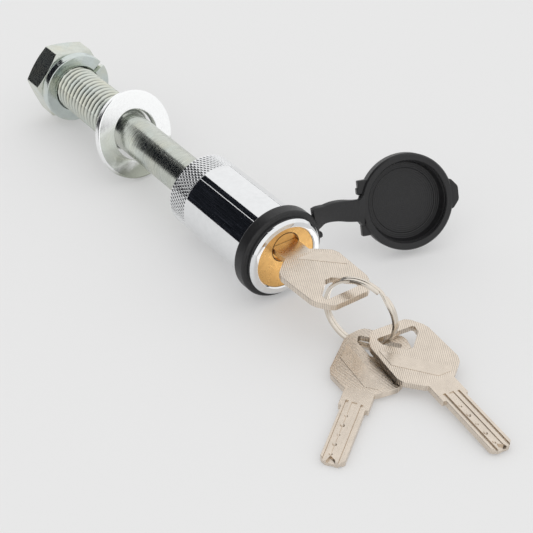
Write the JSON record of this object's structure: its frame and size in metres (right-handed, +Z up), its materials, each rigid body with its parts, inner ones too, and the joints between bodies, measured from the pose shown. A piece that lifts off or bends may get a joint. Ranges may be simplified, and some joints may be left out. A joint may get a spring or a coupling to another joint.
{
  "type": "hitch pin lock",
  "caption": "Locking hitch pin: threaded bolt with hex head and washers, push-on key lock with tethered rubber dust cap, and keys on a split ring.",
  "frame": {"origin": "centre of the bearing face under the bolt's head", "axes": "+X along the bolt from the head to the lock, +Z up from the surface that it lies on"},
  "size_m": [0.2745, 0.1196, 0.0362],
  "materials": {
    "zinc_steel": "bright zinc plate",
    "washer_steel": "bright zinc plate, stamped",
    "spring_steel": "oiled spring steel",
    "chrome": "polished chrome, knurled grip",
    "brass": "turned brass",
    "inner_steel": "machined",
    "pin_brass": "turned",
    "nickel": "nickel silver, fine ruled",
    "ring_nickel": "nickel plate",
    "rubber": "moulded, matt",
    "seal_rubber": "smooth"
  },
  "bodies": {
    "bolt": {"hitch_bolt": "zinc_steel"},
    "spring_washer": {"spring_washer": "washer_steel"},
    "flat_washer": {"flat_washer": "washer_steel"},
    "lock_head": {"lock_housing": "chrome", "rear_seal": "seal_rubber", "latch_carrier": "inner_steel", "latch_springs": "spring_steel", "cylinder_body": "brass", "driver_pins": "inner_steel", "pin_springs": "spring_steel", "chamber_strip": "brass", "cross_pin": "inner_steel", "cap_collar": "rubber", "cap_tether": "rubber"},
    "latch": {"latch_plate": "inner_steel"},
    "plug": {"cylinder_plug": "brass", "plug_clip": "inner_steel", "drive_cam": "inner_steel", "key_pins": "pin_brass"},
    "key_in_lock": {"lock_key": "nickel"},
    "key_ring": {"split_ring": "ring_nickel"},
    "left_key": {"left_spare_key": "nickel"},
    "right_key": {"right_spare_key": "nickel"},
    "cap": {"dust_cap": "rubber"}
  },
  "joints": [
    {"name": "spring_washer_slide", "type": "slide", "parent": "bolt", "child": "spring_washer", "axis": [1, 0, 0], "range_m": [0, 0.03]},
    {"name": "flat_washer_slide", "type": "slide", "parent": "bolt", "child": "flat_washer", "axis": [1, 0, 0], "range_m": [0, 0.04]},
    {"name": "lock_slide", "type": "slide", "parent": "bolt", "child": "lock_head", "axis": [1, 0, 0], "range_m": [0, 0.12]},
    {"name": "key_turn", "type": "hinge", "parent": "lock_head", "child": "plug", "pos_m": [0.1274, 0, 0.0045], "axis": [1, 0, 0], "range_deg": [-90, 0]},
    {"name": "latch_drop", "type": "slide", "parent": "lock_head", "child": "latch", "axis": [0, 0, 1], "range_m": [-0.0014, 0]},
    {"name": "key_withdraw", "type": "slide", "parent": "plug", "child": "key_in_lock", "axis": [1, 0, 0], "range_m": [0, 0.034]},
    {"name": "ring_swing", "type": "hinge", "parent": "key_in_lock", "child": "key_ring", "pos_m": [0.1915, 0.00346, 0.0045], "axis": [-0.3795, 0.9252, 0], "range_deg": [-60, 0]},
    {"name": "left_key_swing", "type": "hinge", "parent": "key_ring", "child": "left_key", "pos_m": [0.1999, 0.0069, -0.0143], "axis": [0, 0, 1], "range_deg": [-4, 6]},
    {"name": "right_key_swing", "type": "hinge", "parent": "key_ring", "child": "right_key", "pos_m": [0.20329, 0.0083, -0.0113], "axis": [0, 0, 1], "range_deg": [0, 30]},
    {"name": "cap_swing", "type": "hinge", "parent": "lock_head", "child": "cap", "pos_m": [0.1506, 0.028, 0.0046], "axis": [0, 0, 1], "range_deg": [-35, 35], "stiffness_Nm_per_rad": 0.03}
  ],
  "couplings": [
    {"joint": "latch_drop", "follows": "key_turn", "m_per_rad": 0.0008913}
  ]
}
